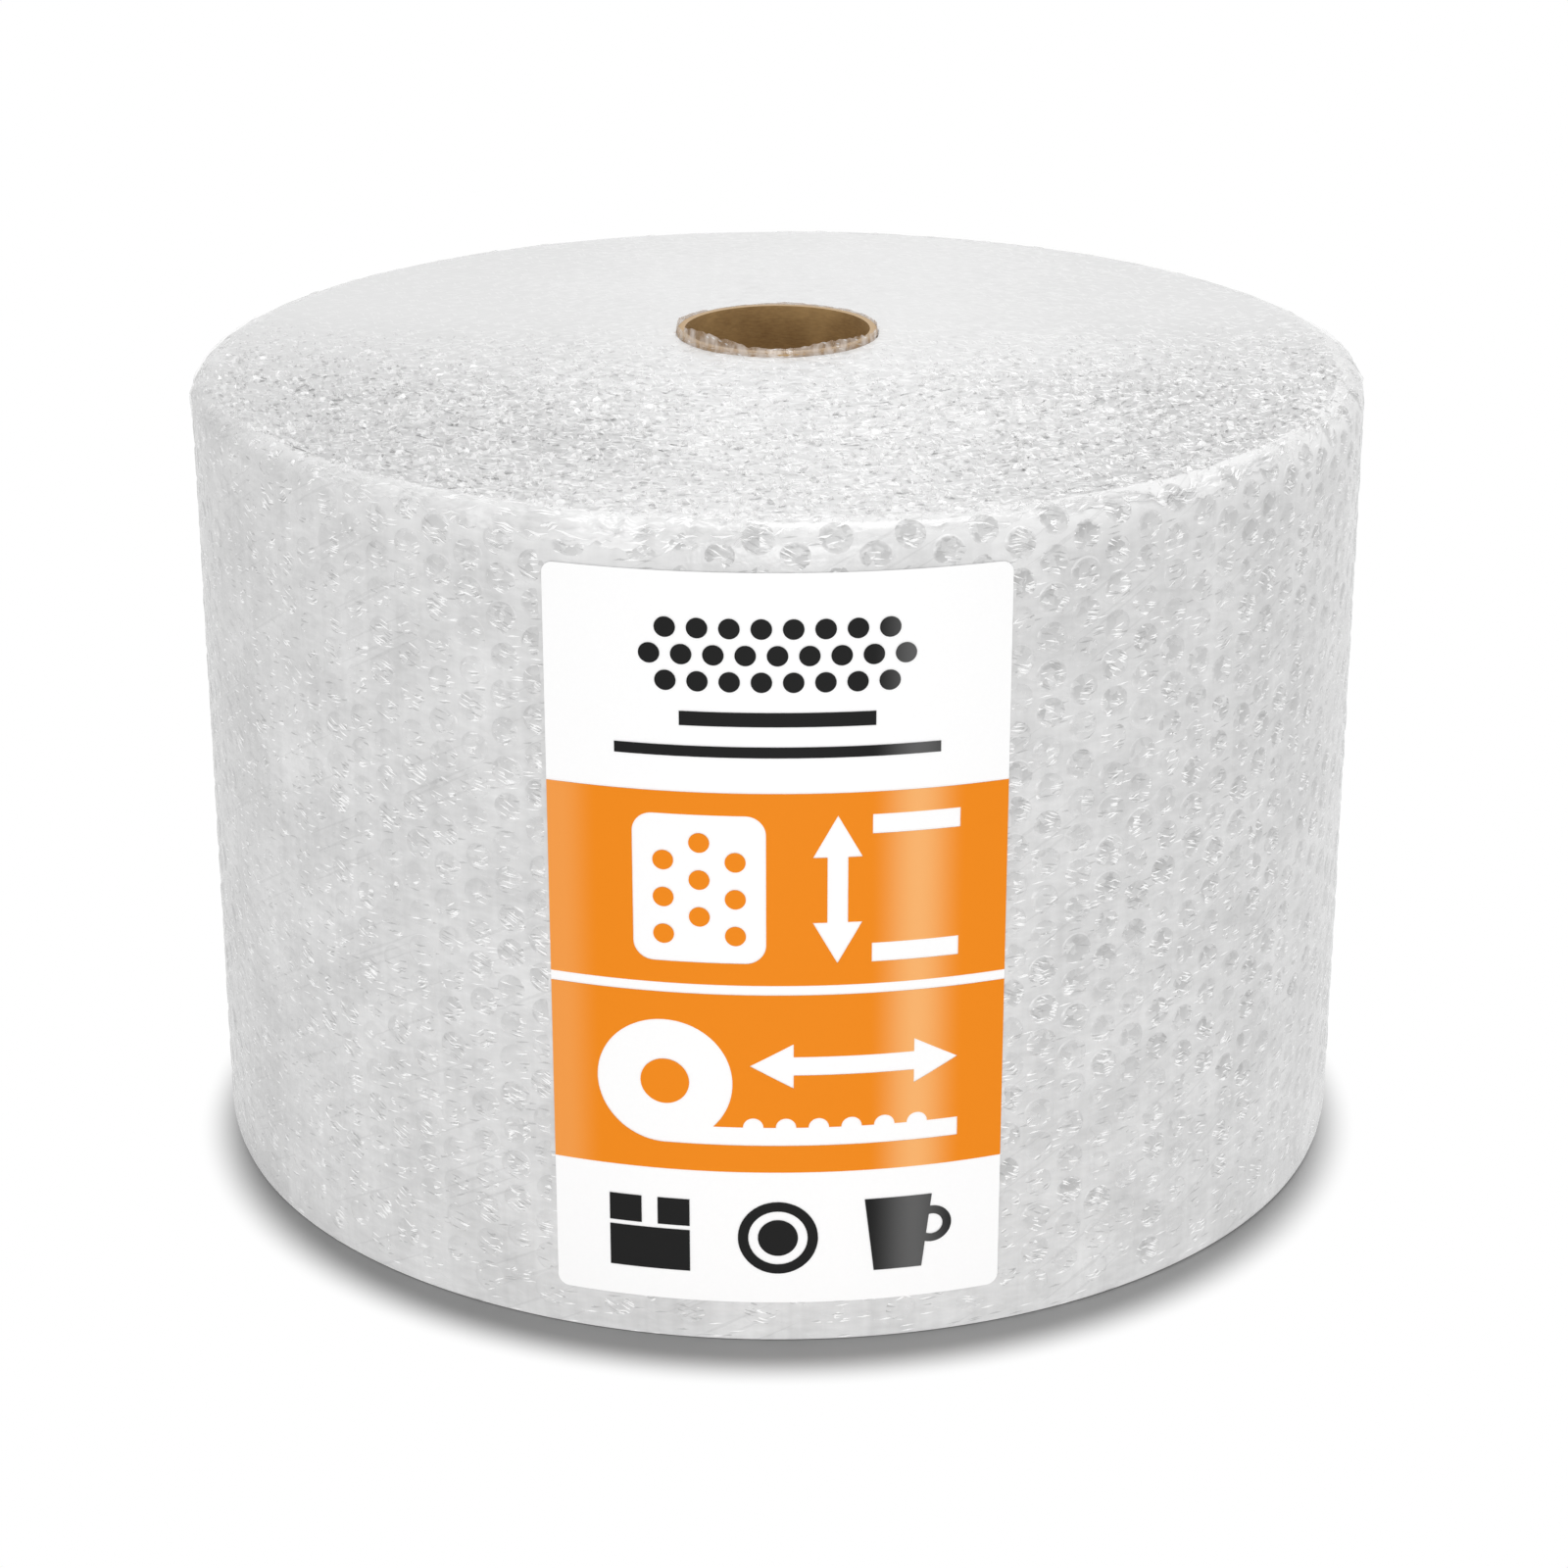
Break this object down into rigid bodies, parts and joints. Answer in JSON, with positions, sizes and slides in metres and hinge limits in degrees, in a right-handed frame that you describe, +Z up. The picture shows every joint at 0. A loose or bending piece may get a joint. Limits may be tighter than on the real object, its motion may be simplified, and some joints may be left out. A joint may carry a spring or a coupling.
{
  "type": "bubble wrap roll",
  "caption": "Roll of bubble wrap wound on a cardboard tube, standing on its end, with a paper label bent round its side.",
  "frame": {"origin": "centre of the roll's lower end, on the surface that it stands on", "axes": "+Z up along the roll's axis, -Y towards the label, +X to the right when one faces the label"},
  "size_m": [0.441, 0.4426, 0.3105],
  "materials": {
    "core": "spiral wound brown cardboard, matt",
    "wrap": "clear polyethylene film in many layers, so it looks white grey, with crisp small glints",
    "label": "coated white label paper",
    "orange_print": "orange ink on coated paper",
    "dark_print": "black ink on coated paper"
  },
  "bodies": {
    "root": {"core": "core", "wrap": "wrap", "label": "label", "orange_print": "orange_print", "dark_print": "dark_print"}
  },
  "joints": []
}
